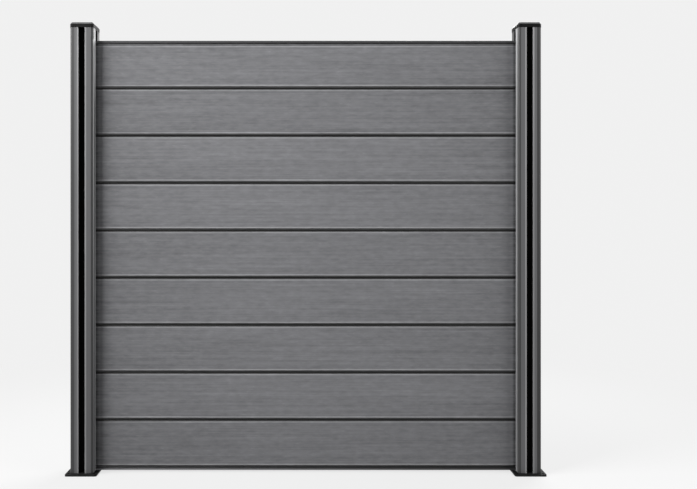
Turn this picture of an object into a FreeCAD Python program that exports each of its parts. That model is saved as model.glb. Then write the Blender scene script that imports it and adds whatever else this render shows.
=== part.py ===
import FreeCAD, Part
import os
from math import sqrt

# One bay of a slot-in composite fence: nine tongue-and-groove boards stacked between two slotted posts.
# Millimetres. The origin is on the ground midway between the posts: +X along the fence, +Y to the back, +Z up.

# Boards
board_count = 9
board_length = 1800.0
board_thickness = 21.0
board_pitch = 200.0            # height that each board adds to the panel
board_shell = 4.5              # wall between a face and the chambers
board_rib = 5.0                # wall between two chambers
board_top_web = 9.0            # solid strip above the top chamber
groove_roof = 5.0              # solid strip above the groove
chamber_count = 5
chamber_radius = 3.0
board_edge_radius = 1.2        # softened corner where a face meets its chamfer
joint_reveal = 4.0             # open shadow line between two boards
tongue_thickness = 8.0
tongue_reach = 12.0            # length of tongue that stands in the groove above
tongue_clearance = 0.4
tongue_lead = 1.5              # small chamfer on the tongue's tip
lower_chamfer_height = 7.0
lower_land = 2.1               # flat left between the groove and the lower chamfer
upper_chamfer_height = 4.5
upper_land = 2.5               # flat left between the tongue and the upper chamfer

# Metal rails of the panel
rail_face = 10.0               # height of the bottom rail that shows below the boards
rail_wall = 2.0
rail_chamfer = 1.5
channel_wall = 1.6
channel_top = 2.0
channel_lap = 1.0              # reach of the channel's sides below the top board's web
channel_clearance = 0.2
channel_end_gap = 1.0          # between the channel's end and a post
channel_radius = 1.4

# Posts
post_width = 97.0
post_wall = 2.2
post_corner_radius = 9.0
post_above_panel = 48.0
board_engagement = 14.0        # length of board that stands in a post's slot
slot_play = 2.5                # between a board's face and the slot's mouth
lip_radius = 0.9

# Black liners in the slots
liner_wall = 1.5
liner_clearance = 0.2
board_clearance = 0.3          # between a board's face and the liner that guides it

# Base plates and spigots
plate_thickness = 8.0
plate_margin = 17.5            # plate that shows round the post
plate_corner_radius = 8.0
plate_chamfer = 1.0
anchor_hole_radius = 5.5
anchor_inset = 12.5            # from the plate's edge to a hole's axis
spigot_width = 40.0
spigot_height = 300.0
spigot_wall = 3.0
spigot_corner_radius = 4.0
spigot_clearance = 0.3

# Caps
cap_overhang = 1.0
cap_side = 14.0
cap_bevel_rise = 8.0
cap_bevel_run = 6.5
cap_wall = 3.0
cap_edge_radius = 1.2
plug_length = 25.0
plug_wall = 2.5
plug_clearance = 0.4
plug_corner_radius = 4.0

# Screws
spigot_screw_head_radius = 4.75
spigot_screw_head_height = 2.4
spigot_screw_radius = 2.4
spigot_screw_tip = 5.0         # length that shows inside the spigot
spigot_screw_inset = 60.0      # from either end of the spigot to a screw
head_hole_clearance = 1.0      # round a screw's head, in the liner
channel_screw_head_radius = 3.5
channel_screw_head_height = 2.0
channel_screw_radius = 1.9
channel_screw_bite = 10.0      # length that stands in the top board
channel_screw_count = 4
channel_screw_end = 150.0      # from the channel's end to the first screw
screw_clearance = 0.1
recess_width = 1.1
recess_depth = 1.2
head_round = 1.0

# Heights and places that follow from the sizes above
rail_bottom = plate_thickness
first_board = rail_bottom + rail_face + joint_reveal
board_face = board_pitch - joint_reveal
panel_top = first_board + (board_count - 1) * board_pitch + board_face
channel_height = panel_top + channel_top
post_top = channel_height + post_above_panel
post_length = post_top - plate_thickness
opening_half = board_length / 2 - board_engagement
post_centre = opening_half + post_width / 2

half_post = post_width / 2
half_mouth = board_thickness / 2 + slot_play
half_pocket = half_mouth + liner_wall + liner_clearance
half_spigot = spigot_width / 2
half_core = half_spigot + spigot_clearance
slot_floor = half_core + post_wall      # from the post's axis
expansion_gap = half_post - slot_floor - liner_wall - liner_clearance - board_engagement
half_plate = half_post + plate_margin
half_board = board_thickness / 2
half_tongue = tongue_thickness / 2
half_groove = half_tongue + tongue_clearance

Vector = FreeCAD.Vector
UP = Vector(0, 0, 1)
ORIGIN = Vector(0, 0, 0)


def outline(corners, place):
    """Closed wire through corners (u, v) or (u, v, radius); place turns a flat point into one in space."""
    ends = []
    arcs = []
    count = len(corners)
    for index, corner in enumerate(corners):
        u, v = corner[:2]
        radius = corner[2] if len(corner) > 2 else 0
        if not radius:
            ends.append(((u, v), (u, v)))
            arcs.append(None)
            continue
        before = corners[index - 1]
        after = corners[(index + 1) % count]
        in_u, in_v = unit(before[0] - u, before[1] - v)
        out_u, out_v = unit(after[0] - u, after[1] - v)
        cosine = in_u * out_u + in_v * out_v
        half_sine = sqrt((1 - cosine) / 2)
        half_cosine = sqrt((1 + cosine) / 2)
        tangent = radius * half_cosine / half_sine
        mid_u, mid_v = unit(in_u + out_u, in_v + out_v)
        bulge = radius / half_sine - radius
        ends.append(((u + in_u * tangent, v + in_v * tangent), (u + out_u * tangent, v + out_v * tangent)))
        arcs.append((u + mid_u * bulge, v + mid_v * bulge))
    edges = []
    for index in range(count):
        start, finish = ends[index]
        if arcs[index]:
            edges.append(Part.Arc(place(*start), place(*arcs[index]), place(*finish)).toShape())
        following = ends[(index + 1) % count][0]
        if place(*finish).distanceToPoint(place(*following)) > 1e-6:
            edges.append(Part.makeLine(place(*finish), place(*following)))
    return Part.Wire(edges)


def unit(u, v):
    length = sqrt(u * u + v * v)
    return u / length, v / length


def in_plan(height):
    return lambda u, v: Vector(u, v, height)


def in_section(x):
    return lambda u, v: Vector(x, u, v)


def extruded(wires, along):
    """Solid from a section: its outer wire with the wires of its hollows inside."""
    face = Part.makeFace(Part.makeCompound(wires), "Part::FaceMakerBullseye")
    return face.extrude(along)


def rectangle(half_u, low_v, high_v, radius=0):
    return [(-half_u, low_v, radius), (half_u, low_v, radius), (half_u, high_v, radius), (-half_u, high_v, radius)]


def square(half, radius=0):
    return rectangle(half, -half, half, radius)


def mirrored_profile(right_side):
    """Corners of a profile that is the same on both sides of v, from its right side listed upwards."""
    left_side = [(-corner[0], *corner[1:]) for corner in reversed(right_side)]
    return right_side + left_side


def quarter_turns(shape, turns):
    return shape.rotated(ORIGIN, UP, 90 * turns)


def edges_at_height(shape, height):
    """Edges that lie level at a height."""
    return [edge for edge in shape.Edges if abs(edge.BoundBox.ZMin - height) + abs(edge.BoundBox.ZMax - height) < 1e-4]


# Boards

def chamber_wires(x):
    low = tongue_reach + groove_roof
    high = board_face - board_top_web
    height = (high - low - (chamber_count - 1) * board_rib) / chamber_count
    half = half_board - board_shell
    radius = min(chamber_radius, 0.45 * height, 0.9 * half)
    step = height + board_rib
    return [
        outline(rectangle(half, low + index * step, low + index * step + height, radius), in_section(x))
        for index in range(chamber_count)
    ]


def board(with_tongue):
    """A hollow board with its lower edge at z = 0. The top board has a square sawn edge in place of its tongue."""
    lower_edge = [
        (half_groove, 0),
        (half_groove + lower_land, 0),
        (half_board, lower_chamfer_height, board_edge_radius),
    ]
    tongue_edge = [
        (half_board, board_face - upper_chamfer_height, board_edge_radius),
        (half_tongue + upper_land, board_face),
        (half_tongue, board_face),
        (half_tongue, board_pitch + tongue_reach - tongue_lead),
        (half_tongue - tongue_lead, board_pitch + tongue_reach),
    ]
    sawn_edge = [(half_board, board_face)]
    profile = mirrored_profile(lower_edge + (tongue_edge if with_tongue else sawn_edge))
    groove = [(-half_groove, tongue_reach), (half_groove, tongue_reach)]
    start = -board_length / 2
    wires = [outline(profile + groove, in_section(start))] + chamber_wires(start)
    return extruded(wires, Vector(board_length, 0, 0))


def board_height(index):
    return first_board + index * board_pitch


# Metal rails

def bottom_rail():
    """Low hollow extrusion as thick as a board, with the tongue that the lowest board's groove sits on."""
    tongue_top = rail_face + joint_reveal + tongue_reach
    outside = mirrored_profile([
        (half_board, 0),
        (half_board, rail_face - rail_chamfer),
        (half_board - rail_chamfer, rail_face),
        (half_tongue, rail_face),
        (half_tongue, tongue_top - tongue_lead),
        (half_tongue - tongue_lead, tongue_top),
    ])
    inside = mirrored_profile([
        (half_board - rail_wall, rail_wall),
        (half_board - rail_wall, rail_face - rail_wall),
        (half_tongue - rail_wall, rail_face - rail_wall),
        (half_tongue - rail_wall, tongue_top - rail_wall),
    ])
    start = in_section(-board_length / 2)
    rail = extruded([outline(outside, start), outline(inside, start)], Vector(board_length, 0, 0))
    return rail.translated(Vector(0, 0, rail_bottom))


def half_channel_length():
    return opening_half - channel_end_gap


def channel_outside():
    return half_board + channel_clearance + channel_wall


def top_channel():
    """U over the top board's sawn edge, cut to fit between the posts, with its screw holes at the back."""
    half_inside = half_board + channel_clearance
    low = panel_top - board_top_web - channel_lap
    profile = mirrored_profile([
        (half_inside, low),
        (channel_outside(), low),
        (channel_outside(), channel_height, channel_radius),
    ]) + [(-half_inside, panel_top), (half_inside, panel_top)]
    start = in_section(-half_channel_length())
    channel = extruded([outline(profile, start)], Vector(2 * half_channel_length(), 0, 0))
    return channel.cut(channel_screw_drills())


# Screws

def pan_head_screw(head_radius, head_height, shank_radius, shank_length):
    """Screw along Z with the underside of its head at z = 0 and a cross recess in its rounded top."""
    head = Part.makeCylinder(head_radius, head_height)
    head = head.makeFillet(head_round, edges_at_height(head, head_height))
    bar = Part.makeBox(head_radius, recess_width, recess_depth)
    bar.translate(Vector(-head_radius / 2, -recess_width / 2, head_height - recess_depth))
    head = head.cut([bar, quarter_turns(bar, 1)])
    tip = shank_radius
    shank = Part.makeCylinder(shank_radius, shank_length - tip, Vector(0, 0, tip - shank_length))
    point = Part.makeCone(shank_radius / 3, shank_radius, tip, Vector(0, 0, -shank_length))
    return head.fuse([shank, point]).removeSplitter()


def screw_drill(shank_radius, length):
    return Part.makeCylinder(shank_radius + screw_clearance, length, Vector(0, 0, -length))


def facing_back(shape):
    """Turns a screw so that its head points along +Y."""
    return shape.rotated(ORIGIN, Vector(1, 0, 0), -90)


def channel_screw_places():
    first = channel_screw_end - half_channel_length()
    step = -2 * first / (channel_screw_count - 1)
    height = panel_top - board_top_web / 2
    return [Vector(first + index * step, channel_outside(), height) for index in range(channel_screw_count)]


def channel_screw_length():
    return channel_wall + channel_clearance + channel_screw_bite


def channel_screw_drills():
    drill = facing_back(screw_drill(channel_screw_radius, channel_screw_length()))
    return [drill.translated(place) for place in channel_screw_places()]


def channel_screws():
    screw = facing_back(pan_head_screw(
        channel_screw_head_radius, channel_screw_head_height, channel_screw_radius, channel_screw_length()))
    return Part.makeCompound([screw.translated(place) for place in channel_screw_places()])


def spigot_screw_length():
    return post_wall + spigot_clearance + spigot_wall + spigot_screw_tip


def at_spigot_screws(shape):
    """Copies of a shape made along +Y at the slot floor: two in the slot that holds the boards, two at the back."""
    heights = [plate_thickness + spigot_screw_inset, plate_thickness + spigot_height - spigot_screw_inset]
    copies = []
    for height in heights:
        at_back = shape.translated(Vector(0, slot_floor, height))
        copies += [at_back, quarter_turns(at_back, -1)]
    return copies


def spigot_screws():
    screw = facing_back(pan_head_screw(
        spigot_screw_head_radius, spigot_screw_head_height, spigot_screw_radius, spigot_screw_length()))
    return Part.makeCompound(at_spigot_screws(screw))


def spigot_drills():
    return at_spigot_screws(facing_back(screw_drill(spigot_screw_radius, spigot_screw_length())))


# Posts. Everything of a post is made about its own axis with the boards on its +X side.

def post_outline():
    side = [
        (-half_post, -half_post, post_corner_radius),
        (-half_mouth, -half_post, lip_radius),
        (-half_mouth, -half_post + post_wall),
        (-half_pocket, -half_post + post_wall),
        (-half_pocket, -slot_floor),
        (half_pocket, -slot_floor),
        (half_pocket, -half_post + post_wall),
        (half_mouth, -half_post + post_wall),
        (half_mouth, -half_post, lip_radius),
    ]
    corners = []
    for turn in range(4):
        corners += side
        side = [(-corner[1], corner[0], *corner[2:]) for corner in side]
    return outline(corners, in_plan(plate_thickness))


def corner_chamber():
    """Hollow of one corner of the post, wrapped round the corner of the core."""
    low = half_pocket + post_wall
    high = half_post - post_wall
    outer_radius = post_corner_radius - post_wall
    corners = [(low, low), (high, low), (high, high, outer_radius), (low, high)]
    hollow = extruded([outline(corners, in_plan(plate_thickness))], UP * post_length)
    core = extruded([outline(square(slot_floor), in_plan(plate_thickness))], UP * post_length)
    return hollow.cut(core)


def post():
    body = extruded([post_outline()], UP * post_length)
    core = extruded([outline(square(half_core), in_plan(plate_thickness))], UP * post_length)
    chamber = corner_chamber()
    hollows = [core] + [quarter_turns(chamber, turn) for turn in range(4)]
    return body.cut(hollows).cut(spigot_drills())


def slot_liner(half_clear):
    """U-shaped liner behind the lips of the slot on the +X side, with half_clear between its middle and a wall."""
    floor = slot_floor + liner_clearance
    mouth = half_post - post_wall - liner_clearance
    half_outside = half_pocket - liner_clearance
    corners = [
        (floor, -half_outside),
        (mouth, -half_outside),
        (mouth, -half_clear),
        (floor + liner_wall, -half_clear),
        (floor + liner_wall, half_clear),
        (mouth, half_clear),
        (mouth, half_outside),
        (floor, half_outside),
    ]
    return extruded([outline(corners, in_plan(plate_thickness))], UP * post_length)


def head_holes():
    hole = Part.makeCylinder(spigot_screw_head_radius + head_hole_clearance, liner_wall + 2 * liner_clearance)
    return at_spigot_screws(facing_back(hole))


def panel_slot_liner():
    return slot_liner(half_board + board_clearance).cut(head_holes())


def free_slot_liner(turns):
    return quarter_turns(slot_liner(half_mouth), turns).cut(head_holes())


def spigot():
    base = in_plan(plate_thickness)
    inner_radius = spigot_corner_radius - spigot_wall
    wires = [
        outline(square(half_spigot, spigot_corner_radius), base),
        outline(square(half_spigot - spigot_wall, inner_radius), base),
    ]
    return extruded(wires, UP * spigot_height).cut(spigot_drills())


def base_plate():
    plate = extruded([outline(square(half_plate, plate_corner_radius), in_plan(0))], UP * plate_thickness)
    plate = plate.makeChamfer(plate_chamfer, edges_at_height(plate, plate_thickness))
    reach = half_plate - anchor_inset
    hole = Part.makeCylinder(anchor_hole_radius, plate_thickness, Vector(reach, reach, 0))
    return plate.cut([quarter_turns(hole, turn) for turn in range(4)])


def bevelled_block(half, radius, low, bevel_low, high, run):
    """Square block from low to high whose sides lean in by run above bevel_low."""
    block = extruded([outline(square(half, radius), in_plan(low))], UP * (bevel_low - low))
    wide = outline(square(half, radius), in_plan(bevel_low))
    narrow = outline(square(half - run, max(radius - run, 1)), in_plan(high))
    return block.fuse(Part.makeLoft([wide, narrow], True, True)).removeSplitter()


def cap_plug(high):
    """Square tube under the cap's roof that pushes into the post's core."""
    low = post_top - plug_length
    half = half_core - plug_clearance
    wires = [
        outline(square(half, plug_corner_radius), in_plan(low)),
        outline(square(half - plug_wall, plug_corner_radius - plug_wall), in_plan(low)),
    ]
    return extruded(wires, UP * (high - low))


def post_cap():
    bevel_low = post_top + cap_side
    high = bevel_low + cap_bevel_rise
    half = half_post + cap_overhang
    radius = post_corner_radius + cap_overhang
    block = bevelled_block(half, radius, post_top, bevel_low, high, cap_bevel_run)
    block = block.makeFillet(cap_edge_radius, edges_at_height(block, high))
    inside = bevelled_block(
        half - cap_wall, radius - cap_wall, post_top, bevel_low, high - cap_wall, cap_bevel_run)
    return block.cut(inside).fuse(cap_plug(high - cap_wall / 2)).removeSplitter()


def left_side(shape):
    return shape.translated(Vector(-post_centre, 0, 0))


def right_side(shape):
    return left_side(shape).mirror(ORIGIN, Vector(1, 0, 0))


# Assembly

parts = {}

tongued_board = board(with_tongue=True)
for index in range(board_count - 1):
    parts[f"board_{index + 1}"] = tongued_board.translated(Vector(0, 0, board_height(index)))
top_board = board(with_tongue=False).translated(Vector(0, 0, board_height(board_count - 1)))
parts[f"board_{board_count}"] = top_board.cut(channel_screw_drills())

parts["bottom_rail"] = bottom_rail()
parts["top_channel"] = top_channel()
parts["top_channel_screws"] = channel_screws()

post_pieces = {
    "post": post(),
    "post_cap": post_cap(),
    "base_plate": base_plate(),
    "spigot": spigot(),
    "spigot_screws": spigot_screws(),
    "panel_slot_liner": panel_slot_liner(),
    "back_slot_liner": free_slot_liner(1),
    "outer_slot_liner": free_slot_liner(2),
    "front_slot_liner": free_slot_liner(3),
}
for name, shape in post_pieces.items():
    parts[f"left_{name}"] = left_side(shape)
    parts[f"right_{name}"] = right_side(shape)

os.makedirs("parts", exist_ok=True)
for name, shape in parts.items():
    shape.exportStep(f"parts/{name}.step")

print(f"{len(parts)} nodes, panel top {channel_height:.1f}, post top {post_top:.1f}")
print(f"room behind a board's end for its growth in the sun {expansion_gap:.1f}")
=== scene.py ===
# %% [markdown]
# # One bay of a slot-in composite fence
# Nine grey boards stand on edge between two slotted posts, and every one of them is a plain extrusion. That makes
# the fence a good first lesson in finishes: the shapes are simple, so all that the eye enjoys is in how the brushed
# boards, the powder-coated posts and the black fittings take the light. The solids come ready made from a packed
# CAD model. They could be modelled again here, but they already have their true size and place, so this script
# keeps them and only dresses them.

# %% Load the fence as a fixed frame
from math import pi

import bmesh
import bpy
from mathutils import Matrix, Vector


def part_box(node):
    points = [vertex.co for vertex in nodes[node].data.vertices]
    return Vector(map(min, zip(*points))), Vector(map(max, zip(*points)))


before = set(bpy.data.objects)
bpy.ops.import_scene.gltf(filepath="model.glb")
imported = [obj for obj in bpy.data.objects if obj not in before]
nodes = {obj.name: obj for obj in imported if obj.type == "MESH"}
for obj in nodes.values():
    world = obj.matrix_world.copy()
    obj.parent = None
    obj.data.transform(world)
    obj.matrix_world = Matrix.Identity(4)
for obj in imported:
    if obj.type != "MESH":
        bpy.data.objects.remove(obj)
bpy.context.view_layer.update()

# %% [markdown]
# ## Measuring what the finishes need
# A brushed line that stops at a board's edge, or a painted highlight on a lip beside a slot, has to know where that
# edge is. Typing such places in as numbers would break as soon as a board changed, so they are read from the boxes
# of the solids.

# %% Measure boards and posts
millimetre = 0.001
board_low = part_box("board_1")[0].z
board_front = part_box("board_1")[0].y
board_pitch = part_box("board_2")[0].z - board_low
post_low, post_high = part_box("right_post")
post_centre = (post_low.x + post_high.x) / 2
half_post = (post_high.x - post_low.x) / 2
liner_low, liner_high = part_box("right_front_slot_liner")
liner_wall = 1.5 * millimetre
half_slot = (liner_high.x - liner_low.x) / 2 - liner_wall
print(f"boards every {board_pitch:.3f} m from {board_low:.3f} m, post axes {post_centre:.4f} m from the middle")
print(f"slots {2 * half_slot:.4f} m wide between their lips")

# %% [markdown]
# ## The photograph's camera
# The fence was taken straight from the front, so its boards stay level and its posts upright in the picture.
# Turning the camera to put the fence left of the middle would make those lines lean. A lens shift moves the picture
# and keeps them straight, which is also what a view camera does. The distance comes from how much of each post's
# inner side shows, the height from how much of the base plates' tops does.

# %% Place the camera
photo_width, photo_height = 697, 489
axis_column, horizon_row = 305.7, 217.3    # the pixel that the lens looks straight at
pixels_per_metre = 236.85                  # on the front of the boards
camera_distance = 3.0
camera_height = 1.075
sensor_width = 36.0

camera_data = bpy.data.cameras.new("photo_camera")
camera_data.sensor_width = sensor_width
camera_data.lens = pixels_per_metre * (camera_distance + board_front) / photo_width * sensor_width
camera_data.shift_x = (photo_width / 2 - axis_column) / photo_width
camera_data.shift_y = (horizon_row - photo_height / 2) / photo_width
camera = bpy.data.objects.new("photo_camera", camera_data)
camera.location = (0, -camera_distance, camera_height)
camera.rotation_euler = (pi / 2, 0, 0)
scene = bpy.context.scene
scene.collection.objects.link(camera)
scene.camera = camera
print(f"lens {camera_data.lens:.1f} mm, shift {camera_data.shift_x:.4f}, {camera_data.shift_y:.4f}")

# %% [markdown]
# ## A small language for shaders
# A finish is a sum of simple patterns: streaks plus flecks plus a painted highlight along an edge. Wiring each sum
# by hand takes a dozen lines and hides the formula. So one small class wraps a socket and gives it the usual
# operators, each with its reflected form, and `1 - streaks * 0.2` adds its Math nodes by itself. The other class is
# the material being mixed, and its method `node` makes every other kind of node from a type, its settings and its
# inputs.

# %% Values that can be added and multiplied
def both_ways(operation):
    """A Math node's operation as a Python operator, and its reflected form for a number on the left."""
    def usual(self, other):
        return self.maths(operation, self, other)

    def reflected(self, other):
        return self.maths(operation, other, self)

    return usual, reflected


class Signal:
    """One output of a node, with the operators that a formula needs."""

    __add__, __radd__ = both_ways("ADD")
    __sub__, __rsub__ = both_ways("SUBTRACT")
    __mul__, __rmul__ = both_ways("MULTIPLY")
    __truediv__, __rtruediv__ = both_ways("DIVIDE")
    __mod__, __rmod__ = both_ways("FLOORED_MODULO")
    __or__, __ror__ = both_ways("MAXIMUM")    # the larger of two masks

    def __init__(self, finish, socket):
        self.finish = finish
        self.socket = socket

    def maths(self, operation, *values):
        return self.finish.node("ShaderNodeMath", {"operation": operation}, dict(enumerate(values)))

    def __abs__(self):
        return self.maths("ABSOLUTE", self)

    def whole(self):
        return self.maths("FLOOR", self)

    def rise(self, low, high):
        """0 below low, 1 above high and a soft step between."""
        return self.finish.node(
            "ShaderNodeMapRange", {"interpolation_type": "SMOOTHSTEP"},
            {"Value": self, "From Min": low, "From Max": high})


print("a value takes + - * / % and |, on either side of a number")


# %% Materials that are mixed from them
class Finish:
    """A material being mixed, and the one method that adds nodes to it."""

    def __init__(self, name):
        self.material = bpy.data.materials.new(name)
        self.material.use_nodes = True
        self.tree = self.material.node_tree
        self.shader = self.tree.nodes["Principled BSDF"]

    def node(self, kind, settings=None, inputs=None, output=0):
        made = self.tree.nodes.new(kind)
        for name, value in (settings or {}).items():
            setattr(made, name, value)
        for name, value in (inputs or {}).items():
            self.feed(made.inputs[name], value)
        return Signal(self, made.outputs[output])

    def feed(self, socket, value):
        if isinstance(value, Signal):
            self.tree.links.new(value.socket, socket)
        else:
            socket.default_value = value

    def surface(self, **inputs):
        """Sets or links the shader's sockets; underscores stand for the spaces in their names."""
        for name, value in inputs.items():
            self.feed(self.shader.inputs[name.replace("_", " ")], value)

    def place(self):
        """Where a point is on the fence at rest, in metres."""
        return self.node("ShaderNodeTexCoord", output="Object")

    def split(self, vector):
        """The three parts of a vector, each as a value of its own."""
        first_part = self.node("ShaderNodeSeparateXYZ", inputs={0: vector})
        return [Signal(self, part) for part in first_part.socket.node.outputs]

    def noise(self, place, per_metre, detail=3.0, roughness=0.5):
        """Cloudy values about 0, from -0.5 to 0.5, with so many waves in a metre along x, y and z."""
        stretched = self.node("ShaderNodeVectorMath", {"operation": "MULTIPLY"}, {0: place, 1: per_metre})
        cloud = self.node("ShaderNodeTexNoise", inputs={
            "Vector": stretched, "Scale": 1.0, "Detail": detail, "Roughness": roughness})
        return cloud - 0.5

    def mix(self, share, first, second):
        """Colour that goes from first to second as share goes from 0 to 1."""
        return self.node("ShaderNodeMix", {"data_type": "RGBA"}, {0: share, 6: first, 7: second}, output=2)

    def shaded(self, colour, level):
        """A colour made lighter or darker by a value about 1."""
        return self.node("ShaderNodeVectorMath", {"operation": "SCALE"}, {0: colour, "Scale": level})

    def bump(self, height, depth, strength):
        return self.node("ShaderNodeBump", inputs={"Height": height, "Distance": depth, "Strength": strength})


print("a finish is a material, and its method node adds every node to it")

# %% Helpers for colours and for dressing a solid
satin = 0.3      # specular level of the brushed and the powder-coated surfaces


def grey(red, green=None, blue=None):
    """A colour for a socket, from one linear value or three."""
    return (red, red if green is None else green, red if blue is None else blue, 1.0)


def positive(distance):
    """0 where a distance in metres is below 0, and 1 where it is above."""
    return distance.rise(-millimetre, millimetre)


def dress(finish, *names):
    """Gives a finish to solids by their node names."""
    for name in names:
        mesh = nodes[name].data
        mesh.materials.clear()
        mesh.materials.append(finish.material)
    print(f"{finish.material.name}: {', '.join(names)}, {len(finish.tree.nodes)} nodes")


print(f"satin surfaces have a specular level of {satin}")

# %% [markdown]
# ## The grain of the boards
# The boards are wood-plastic composite: wood flour and plastic pressed through a die, then brushed with wire so that
# the shine goes and fine lines run along the board. A picture of such lines would repeat from board to board and
# blur close up. Noise stretched 300 times along the board has no repeats, and its place is measured on the fence
# itself, so no two boards are alike. Broader streaks, short dashes, a slow drift of tone and pale flecks of wood go
# on top.

# %% Draw the grain
brush_waves = (3.0, 60.0, 900.0)       # in a metre along a board, through it and up it
streak_waves = (1.6, 20.0, 110.0)
dash_waves = (26.0, 60.0, 80.0)
drift_waves = (0.8, 8.0, 26.0)
fleck_waves = (42.0, 300.0, 340.0)


def board_grain(finish, place):
    brushed = finish.noise(place, brush_waves, detail=4.0, roughness=0.6)
    streaks = finish.noise(place, streak_waves, detail=4.0, roughness=0.6)
    dashes = finish.noise(place, dash_waves, detail=2.0)
    drift = finish.noise(place, drift_waves)
    flecks = finish.noise(place, fleck_waves).rise(0.09, 0.2)
    return brushed, streaks, dashes, drift, flecks


print(f"brush lines are {brush_waves[2] / brush_waves[0]:.0f} times as long as they are high")

# %% [markdown]
# ## The edges of the boards
# The slope under a board's face is painted darker than the face, as painted shade where it turns down from the
# light.
# The bottom of the joint, the small slope above a face and the slit under the top channel are painted near black, as
# painted shade in those recesses. The edges beside a joint and a line below the channel are painted pale, as painted
# highlights. These lines could be painted one by one, but all boards have the same section, so two heights find them
# all: that within a board, and that below the channel.

# %% Find the edges
joint_reveal = 4 * millimetre          # open line between two boards
lower_chamfer = 7 * millimetre         # height of the slope under a board's face
upper_chamfer = 4.5 * millimetre       # height of the slope above it
board_top = board_pitch - joint_reveal
face_top = board_top - upper_chamfer
channel_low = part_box("top_channel")[0].z
line_core = 0.3                        # share of a pale line's width that is pale in full
upper_edge_highlight = 0.8                  # painted highlight on the upper edge, against 1 on the lower edge


def line(height, half_width):
    """1 on a soft line along the board where height is 0, and 0 from half_width away."""
    return 1 - abs(height).rise(line_core * half_width, half_width)


def board_edges(up, in_board):
    """Masks of the painted highlights, of the painted shade on the slope under a face and of the black painted
    shade.
    """
    below_channel = channel_low - up
    # painted highlights: pale lines beside each joint and below the top channel
    lower_edge = line(in_board - (lower_chamfer + 3 * millimetre), 4 * millimetre)
    upper_edge = line(in_board - (face_top - 2.5 * millimetre), 5 * millimetre)
    channel_highlight = line(below_channel - 12 * millimetre, 3.5 * millimetre)
    painted_light = lower_edge | upper_edge * upper_edge_highlight | channel_highlight

    # painted shade: darker on the slope under a face, near black in the joint's bottom, above a face and under the
    # channel
    shaded_slope = 1 - in_board.rise(0.7 * lower_chamfer, lower_chamfer)
    joint_bottom = 1 - in_board.rise(0.05 * lower_chamfer, 0.25 * lower_chamfer)
    upper_slope = in_board.rise(board_top - 4.8 * millimetre, board_top - 3.6 * millimetre)
    channel_slit = 1 - below_channel.rise(0.6 * millimetre, 1.6 * millimetre)
    black_shade = joint_bottom | upper_slope | channel_slit
    return painted_light, shaded_slope, black_shade


print(f"the face of a board is {face_top - lower_chamfer:.4f} m high, and {joint_reveal:.4f} m stay open below it")

# %% [markdown]
# ## Painted shade on the boards
# The boards are painted darker where shade falls: a little beside each joint, in a strip under the top channel,
# slowly towards both ends, and most where a board goes into a post. The left ends get more painted shade, low down
# more than high up. A random pattern would put the darkening anywhere, so each kind is a soft mask of one or two
# distances instead.

# %% Find the painted shade on the boards
least_shaded = 0.09                        # metres right of the middle, where the boards get the least painted shade


def board_painted_shade(along, up, in_board):
    """How much of its tone a point of a board loses to painted shade."""
    # painted shade beside each joint and in a strip under the top channel
    below_joint = 1 - (face_top - in_board).rise(8 * millimetre, 26 * millimetre)
    above_joint = 1 - (in_board - lower_chamfer).rise(12 * millimetre, 40 * millimetre)
    under_channel = 1 - (channel_low - up).rise(9 * millimetre, 10.5 * millimetre)
    # painted shade towards both ends, and painted shadow of the posts on the board ends, more on the left and low
    # down
    shaded_ends = abs(along - least_shaded).rise(0.1, 0.95)
    at_right = positive(along)
    from_post = post_centre - half_post - abs(along)
    post_shadow = 1 - from_post.rise(4 * millimetre, 16 * millimetre)
    left_shadow = (1 - from_post.rise(15 * millimetre, 75 * millimetre)) * (1 - at_right)
    near_ground = 1 - up.rise(0.0, 0.9)
    return (below_joint * 0.06 + above_joint * 0.035 + under_channel * 0.25 + shaded_ends * 0.15
            + post_shadow * (0.4 + at_right * 0.12) + left_shadow * (0.07 + near_ground * 0.14))


print(f"the boards are cleanest {least_shaded} m right of the middle")

# %% [markdown]
# ## The composite
# Grain, painted highlights and painted shade now meet in one finish for all nine boards. A finish for each board
# could differ in tone, but it would be the same recipe nine times. One random number per board, drawn from the
# board's place in the stack, keeps the nine from looking like one sheet.

# %% Mix and lay on the composite
# the composite's grey, a pale painted highlight grey, and darker painted shade greys for the slope and the recesses
composite_grey = grey(0.165, 0.166, 0.174)
board_highlight_grey = grey(0.33, 0.33, 0.34)
slope_shade_grey = grey(0.1)
painted_shade_black = grey(0.008)
highlight_share = 0.65                     # of the way from the one grey to the other on a painted highlight
first_tone = 445                       # where the boards start in the row of random tones
usual_level, tone_spread = 1.047, 0.124


def brushed_composite():
    finish = Finish("brushed_composite")
    place = finish.place()
    along, _, up = finish.split(place)
    from_first = up - (board_low - joint_reveal / 2)
    in_board = from_first % board_pitch - joint_reveal / 2
    draw = (from_first / board_pitch).whole() + first_tone
    tone = finish.node("ShaderNodeTexWhiteNoise", {"noise_dimensions": "1D"}, {"W": draw}) - 0.5

    brushed, streaks, dashes, drift, flecks = board_grain(finish, place)
    painted_light, shaded_slope, black_shade = board_edges(up, in_board)
    grain = brushed * 0.56 + streaks * 0.54 + dashes * 0.5 + drift * 0.3 + flecks * 0.18
    level = usual_level + tone * tone_spread + grain - board_painted_shade(along, up, in_board)
    face = finish.mix(painted_light * highlight_share, composite_grey, board_highlight_grey)
    colour = finish.mix(black_shade, finish.mix(shaded_slope, face, slope_shade_grey), painted_shade_black)
    finish.surface(
        Base_Color=finish.shaded(colour, level),
        Roughness=0.62 - brushed * 0.25 - painted_light * 0.08,
        Normal=finish.bump(brushed + flecks * 0.3 + streaks * 0.6, depth=0.5 * millimetre, strength=0.5),
        Specular_IOR_Level=satin,
    )
    return finish


dress(brushed_composite(), *sorted(name for name in nodes if name.startswith("board_")))

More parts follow.
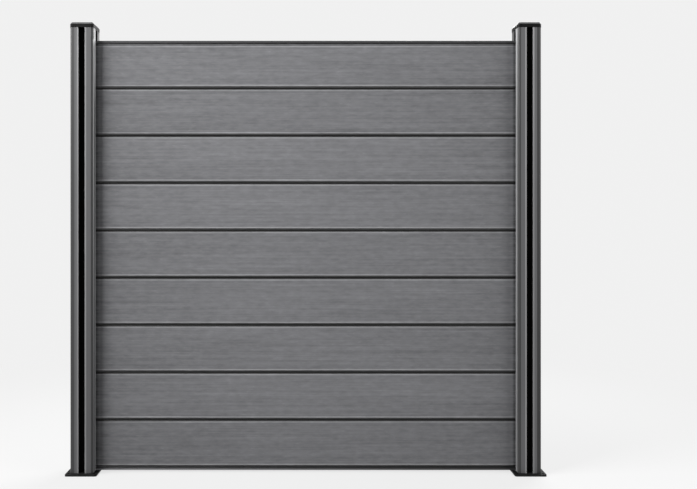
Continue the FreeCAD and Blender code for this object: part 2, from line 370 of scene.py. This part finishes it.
# %% [markdown]
# ## Places on a post
# A post is one aluminium extrusion with a grey powder coat, and its painted highlights and painted shade depend on
# where they are: on a lip beside a slot, on the side that faces the panel, near the top. Unwrapping the post to
# paint such places would take long. All of them follow from how far a point is from the post's own axis and on which
# side of the fence it is, so one finish serves both posts.

# %% Find the sides of a post
panel_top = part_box("top_channel")[1].z
post_skin = half_post - 2 * millimetre     # the outer faces are further from the axis than this


class PostPlace:
    """How far a point of a post is from the post's axis, and masks of the sides it is on."""

    def __init__(self, finish, place):
        along, self.deep, self.up = finish.split(place)
        self.outward = abs(along) - post_centre        # from the axis, away from the panel
        self.across = abs(self.outward)
        self.back = abs(self.deep)
        self.on_right = positive(along)
        self.on_left = 1 - self.on_right
        self.outer_half = positive(self.outward)
        self.on_front = self.back.rise(post_skin, post_skin + millimetre)    # and on the back alike
        self.on_side = self.across.rise(post_skin, post_skin + millimetre)
        self.panel_side = self.on_side * (1 - self.outer_half)
        self.above_panel = self.up.rise(panel_top - 5 * millimetre, panel_top + 5 * millimetre)
        self.beside_panel = self.on_left * self.panel_side * (1 - self.above_panel)


print(f"posts {2 * half_post:.3f} m wide, panel up to {panel_top:.3f} m")

# %% [markdown]
# ## Painted light and shade on a post
# The lips of the slots are painted pale as painted highlights, and the side that faces the panel is painted pale as
# painted light, most of all high up: on the right post all down that side, on the left post along its edge. The
# rounded corners, the outer edges and the side behind the boards are painted dark as painted shade. On the left
# post, the half beside the panel is painted a shade darker as painted shade.

# %% Find the painted highlights on a post
lip_reach = (4.5 * millimetre, 8 * millimetre)     # from a slot's edge, where a lip's painted highlight starts and ends its fade
outer_lip_heights = (1.2, 1.8)                     # metres up, between which a kind of painted light grows
right_side_heights = (0.0, 1.5)
right_top_heights = (1.45, 1.85)
left_top_heights = (1.5, 1.75)
arris_heights = (0.0, 2.0)


def painted_light_places(at):
    """How much painted light a point gets, as pale highlights on lips, sides and an edge, from 0 to 1."""
    def beside_slot(from_middle):
        return 1 - (from_middle - half_slot).rise(*lip_reach)

    # painted highlights on the lips and the left post's edge, painted light on the panel sides
    lips = at.on_front * beside_slot(at.across) | at.on_side * beside_slot(at.back)
    lip_highlight = 0.42 - at.outer_half * (1 - at.up.rise(*outer_lip_heights)) * 0.18
    right_side_light = 0.13 + at.up.rise(*right_side_heights) * 0.15 + at.up.rise(*right_top_heights) * 0.36
    left_side_light = at.up.rise(*left_top_heights) * 0.9 - at.above_panel * 0.4
    side_light = at.on_right * right_side_light + at.on_left * left_side_light
    arris = at.beside_panel * at.back.rise(half_post - 13 * millimetre, half_post - 11 * millimetre)
    arris_highlight = at.up.rise(*arris_heights) * 0.9
    return lips * lip_highlight | at.panel_side * side_light | arris * arris_highlight


print(f"lips rubbed within {lip_reach[1]:.3f} m of slots {2 * half_slot:.3f} m wide")

# %% Find the painted shade on a post
round_from = 2 * half_post - 11 * millimetre       # across and back added up, where a corner's mask starts to rise
round_to = 2 * half_post - 8.5 * millimetre
wider_on_right = 2 * millimetre                    # the right post's corners get painted shade a little further round


def round_corners(at):
    """1 on a post's rounded corners, without the side that the left post turns to the panel."""
    reach = at.across + at.back + at.on_right * wider_on_right
    return reach.rise(round_from, round_to) * (1 - at.beside_panel)


def painted_shade_places(at, corner):
    """How far painted shade darkens the coat towards a dark grey, from 0 to 1."""
    # painted shade on the rounded corners, the outer edges and the side behind the boards
    outer_edge = at.on_front * at.outward.rise(half_post - 20 * millimetre, half_post - 17 * millimetre)
    behind_boards = at.panel_side * at.deep.rise(half_slot - millimetre, half_slot)
    return corner * 0.85 | outer_edge * (0.72 + at.on_right * 0.2) | behind_boards * 0.97


def panel_half_shade(at, corner):
    """1 on the half of the left post's face that is beside the panel, where painted shade darkens it."""
    panel_half = 1 - at.outward.rise(-half_slot - millimetre, -half_slot)
    return at.on_left * at.on_front * panel_half * (1 - corner)


print(f"powder thin at the corners and outer edges of posts {2 * half_post:.3f} m wide")

# %% [markdown]
# ## The powder coat
# The die leaves faint lines along the length of a post, and the baked powder leaves a fine orange peel over them.
# Modelling either would take millions of faces for a depth that can't be measured in a picture, so both are bump.

# %% Mix and lay on the powder coat
powder_grey = grey(0.108, 0.108, 0.111)
# a pale painted highlight grey, and a dark painted shade grey
post_highlight_grey = grey(0.5, 0.5, 0.505)
post_shade_grey = grey(0.022)


def powder_coated_post():
    finish = Finish("grey_powder_coat")
    place = finish.place()
    drawn = finish.noise(place, (420.0, 420.0, 0.9))
    peel = finish.noise(place, (900.0, 900.0, 900.0), detail=2.0)
    mottle = finish.noise(place, (30.0, 30.0, 4.0))

    at = PostPlace(finish, place)
    painted_light = painted_light_places(at)
    corner = round_corners(at)
    # painted shade darkens the left post's half beside the panel
    level = 1 + drawn * 0.3 + mottle * 0.18 + peel * 0.12 - panel_half_shade(at, corner) * 0.18
    coat = finish.mix(painted_light, powder_grey, post_highlight_grey)
    colour = finish.mix(painted_shade_places(at, corner), coat, post_shade_grey)
    finish.surface(
        Base_Color=finish.shaded(colour, level),
        Roughness=0.46 + peel * 0.2 - painted_light * 0.15,
        Normal=finish.bump(peel + drawn * 0.6, depth=0.15 * millimetre, strength=0.5),
        Specular_IOR_Level=satin,
    )
    return finish


dress(powder_coated_post(), "left_post", "right_post")

# %% [markdown]
# ## The rails
# The channel on top and the rail below are thinner extrusions, the channel in a charcoal coat and the rail in a grey
# like that of the posts. Their drawn lines run along the fence and not up it, so they can't share the posts' finish.
# A seam of painted shade lies where each of them meets a board: on the channel's lower lip and the rail's top edge.
# Both are painted lighter towards the left as painted light, the rail far more. One function, which takes two greys,
# the place of the seam and how much lighter the left end is painted, serves both.

# %% Mix and lay on the rails' coats
coat_blue = 1.04                       # a touch more blue than red in both coats
seam_shade_depth = 0.92                       # share of the light that the painted shade in a seam takes


def coated_rail(name, coat, scuffed, seam_height, seam_reach, left_light_gain):
    """A satin coat with drawn lines along the fence, a seam of painted shade where it meets a board, and painted
    light from the left.
    """
    finish = Finish(name)
    place = finish.place()
    along, _, up = finish.split(place)
    # painted light: lighter towards the left end
    lit_from_left = 0.5 - along.rise(-post_centre, post_centre)
    # painted shade along the seam
    seam = 1 - abs(up - seam_height).rise(0.7 * seam_reach, seam_reach)
    drawn = finish.noise(place, (0.9, 500.0, 500.0))
    peel = finish.noise(place, (1000.0, 1000.0, 1000.0), detail=2.0)
    scuffs = finish.noise(place, (7.0, 60.0, 60.0), detail=5.0).rise(0.14, 0.3)
    colour = finish.mix(scuffs * 0.25, grey(coat, coat, coat * coat_blue), grey(scuffed))
    level = (1 + lit_from_left * left_light_gain + drawn * 0.35) * (1 - seam * seam_shade_depth)
    finish.surface(
        Base_Color=finish.shaded(colour, level),
        Roughness=0.42 + peel * 0.15 + scuffs * 0.15,
        Normal=finish.bump(peel + drawn, depth=0.1 * millimetre, strength=0.5),
        Specular_IOR_Level=satin,
    )
    return finish


rail_edge = board_low - joint_reveal - 1.7 * millimetre
charcoal = coated_rail("charcoal_satin_coat", coat=0.042, scuffed=0.1,
                       seam_height=channel_low, seam_reach=4.5 * millimetre, left_light_gain=0.3)
dress(charcoal, "top_channel")
rail_grey = coated_rail("grey_satin_coat", coat=0.14, scuffed=0.22,
                        seam_height=rail_edge, seam_reach=2.4 * millimetre, left_light_gain=1.4)
dress(rail_grey, "bottom_rail")

# %% [markdown]
# ## The black fittings
# The caps are moulded plastic with the fine grain of their mould, the plates and spigots are steel under a coarse
# black powder coat, and the liners in the slots are rubber. All three are black, so colour can't tell them apart:
# the size of the grain and how wide it spreads a highlight do that. The bevel round a cap and the foot of a plate
# are
# painted grey as painted highlights: the one is found by the tilt of its faces, the other by its height. One
# function with those few numbers serves all three.

# %% Mix and lay on the blacks
# painted highlight grey on the cap bevels and the plates' feet
black_highlight_grey = grey(0.085)
black_shine = 0.06                     # specular level of the black fittings
bevel_from, bevel_to = (0.4, 0.6), (0.8, 0.95)         # upward part of a face's normal, 1 where the face is level
foot_height = (2.5 * millimetre, 4 * millimetre)       # where the painted highlight on a plate's foot starts and ends its fade


def black_fitting(name, black, worn, grain_per_metre, grain_depth, roughness, wear, bevel_highlight=0.0):
    """A black finish with a grain of its own, pale scuffs where wear is above 0, and painted highlights on bevel and
    foot.
    """
    finish = Finish(name)
    place = finish.place()
    height = finish.split(place)[2]
    tilt = finish.split(finish.node("ShaderNodeNewGeometry", output="True Normal"))[2]
    grain = finish.noise(place, (grain_per_metre,) * 3, detail=2.0)
    dust = finish.noise(place, (14.0, 14.0, 9.0), detail=4.0)
    scuffs = finish.noise(place, (70.0, 70.0, 50.0), detail=5.0, roughness=0.65).rise(0.12, 0.3)
    # painted highlights: an upward bevel and the foot
    bevel = tilt.rise(*bevel_from) * (1 - tilt.rise(*bevel_to))
    foot = 1 - height.rise(*foot_height)
    black_coat = finish.mix(scuffs * wear, grey(black), grey(worn))
    colour = finish.mix(bevel * bevel_highlight | foot, black_coat, black_highlight_grey)
    finish.surface(
        Base_Color=finish.shaded(colour, 1 + dust * 0.6 + grain * 0.3),
        Roughness=roughness + grain * 0.25 + dust * 0.12,
        Normal=finish.bump(grain, grain_depth, strength=0.6),
        Specular_IOR_Level=black_shine,
    )
    return finish


sides = ("left", "right")
moulded = black_fitting("moulded_black_plastic", black=0.006, worn=0.03, grain_per_metre=1300.0,
                        grain_depth=0.12 * millimetre, roughness=0.45, wear=0.3, bevel_highlight=1.0)
dress(moulded, *(f"{side}_post_cap" for side in sides))
coated_steel = black_fitting("black_powder_coated_steel", black=0.006, worn=0.04, grain_per_metre=700.0,
                             grain_depth=0.2 * millimetre, roughness=0.5, wear=0.35)
dress(coated_steel, *(f"{side}_{piece}" for side in sides for piece in ("base_plate", "spigot")))
rubber = black_fitting("black_slot_rubber", black=0.005, worn=0.02, grain_per_metre=500.0,
                       grain_depth=0.1 * millimetre, roughness=0.8, wear=0.4)
dress(rubber, *(f"{side}_{slot}_slot_liner" for side in sides for slot in ("panel", "front", "back", "outer")))

# %% [markdown]
# ## The screws
# Small zinc-plated screws hold the channel to the top board and each post to its spigot. A grey paint would look
# dead beside them, because plating is bare metal: it takes its look from what it mirrors. So the finish is metallic,
# with a little warm and cool drift in its colour and an uneven shine.

# %% Mix and lay on the zinc
cool_zinc = grey(0.42, 0.43, 0.46)
warm_zinc = grey(0.5, 0.49, 0.45)


def zinc_plating():
    finish = Finish("zinc_plated_steel")
    place = finish.place()
    drift = finish.noise(place, (220.0, 220.0, 220.0))
    grain = finish.noise(place, (2500.0, 2500.0, 2500.0), detail=2.0)
    finish.surface(
        Base_Color=finish.mix(drift + 0.5, cool_zinc, warm_zinc),
        Metallic=1.0,
        Roughness=0.34 + drift * 0.3 + grain * 0.1,
        Normal=finish.bump(grain, depth=0.03 * millimetre, strength=0.4),
    )
    return finish


dress(zinc_plating(), "top_channel_screws", *(f"{side}_spigot_screws" for side in sides))

# %% [markdown]
# ## Floor and backdrop
# The fence stands on pale ground that runs into a pale background. A wall behind it would hide the fence in views
# from the back, so a wide disc lies under it and the world carries the same pale grey. Far from the fence the disc
# shows that grey alone. Near it, a fifth of what the camera sees is matt floor, and that share keeps the soft
# shadow. How much light the floor throws back onto the fence is a value of its own, because a bright floor would
# wash out the lower boards.

# %% Lay the floor
floor_radius = 30.0
floor_drop = 0.3 * millimetre          # keeps the floor clear of the undersides of the base plates

floor_mesh = bpy.data.meshes.new("pale_floor")
drawing = bmesh.new()
bmesh.ops.create_circle(drawing, cap_ends=True, segments=96, radius=floor_radius)
drawing.to_mesh(floor_mesh)
drawing.free()
floor = bpy.data.objects.new("pale_floor", floor_mesh)
floor.location.z = -floor_drop
scene.collection.objects.link(floor)
print(f"floor {2 * floor_radius:.0f} m across")

# %% Mix the floor's paint
pale = 0.875                           # linear, so it shows as a very light grey
bounce = 0.18                          # what the floor sends back onto the fence
matt_from, matt_to = 0.56, 0.58        # the greys of the matt floor in the shadow
shadow_share = 0.2
shadow_reach = (1.2, 3.0)              # metres from the fence where the matt share starts and ends its fade


def seen(finish):
    """1 for rays from the camera, and for those that a glossy or clear surface sends on."""
    kinds = ("Camera", "Glossy", "Transmission")
    camera_ray, glossy, clear = (finish.node("ShaderNodeLightPath", output=f"Is {kind} Ray") for kind in kinds)
    return camera_ray | glossy | clear


def pale_floor():
    finish = Finish("pale_matt_floor")
    place = finish.place()
    in_view = seen(finish)
    away = finish.node("ShaderNodeVectorMath", {"operation": "LENGTH"}, {0: place}, output="Value")
    clouds = finish.noise(place, (1.5, 1.5, 1.5))
    pale_matt = finish.mix(clouds + 0.5, grey(matt_from), grey(matt_to))
    finish.surface(
        Base_Color=finish.mix(in_view, grey(bounce), pale_matt),
        Roughness=0.9,
        Specular_IOR_Level=0.0,
    )
    matt = Signal(finish, finish.shader.outputs[0])
    glow = finish.node("ShaderNodeEmission", inputs={"Color": grey(pale), "Strength": 1.0})
    share = in_view * (1 - shadow_share + away.rise(*shadow_reach) * shadow_share)
    both = finish.node("ShaderNodeMixShader", inputs={0: share, 1: matt, 2: glow})
    finish.feed(finish.tree.nodes["Material Output"].inputs["Surface"], both)
    return finish


floor_mesh.materials.append(pale_floor().material)
print(f"shadow kept in full within {shadow_reach[0]} m")

# %% [markdown]
# ## Light
# In the photograph the left post shades the ends of the boards beside it, the right post does the same more faintly,
# and the fence is lighter above than below. A single lamp would leave one post black, and an even sky alone would
# flatten the joints. So a strong wide lamp hangs high on the left, a weaker one stands lower on the right, and an
# even sky adds very little. A third lamp behind the fence shows its back in other views. The level is plain: a
# colour comes out about as it was written.

# %% Light the sky
sky_level = 0.05
sky_blue = 1.03                        # a touch more blue than red
world = bpy.data.worlds.new("pale_studio")
world.use_nodes = True
scene.world = world


class Sky(Finish):
    """The world's nodes, mixed like a finish."""

    def __init__(self, of_world):
        self.tree = of_world.node_tree
        self.shader = self.tree.nodes["Background"]


sky = Sky(world)
sky.surface(
    Color=sky.mix(seen(sky), grey(sky_level, sky_level, sky_level * sky_blue), grey(pale)),
    Strength=1.0,
)
print(f"sky at {sky_level}")

# %% Hang the lamps
def soft_lamp(name, place, target, size, watts):
    data = bpy.data.lights.new(name, "AREA")
    data.shape = "RECTANGLE"
    data.size, data.size_y = size
    data.energy = watts
    lamp = bpy.data.objects.new(name, data)
    beam = Vector(target) - Vector(place)
    lamp.location = place
    lamp.rotation_euler = beam.to_track_quat("-Z", "Y").to_euler()
    scene.collection.objects.link(lamp)
    print(f"{name}: {watts} W, {beam.length:.2f} m away")


soft_lamp("key_lamp", place=(-4.1, -1.85, 4.0), target=(0.0, 0.0, 1.3), size=(3.3, 1.2), watts=565)
soft_lamp("fill_lamp", place=(3.75, -1.35, 2.6), target=(0.0, 0.0, 1.2), size=(2.9, 4.0), watts=150)
soft_lamp("back_lamp", place=(2.2, 3.4, 4.4), target=(0.0, 0.0, 1.0), size=(4.0, 2.5), watts=420)

# %% [markdown]
# ## The view
# The colours are to show as they were written. A filmic view would soften them, so the plain Standard view is set.

# %% Set the view
scene.view_settings.view_transform = "Standard"
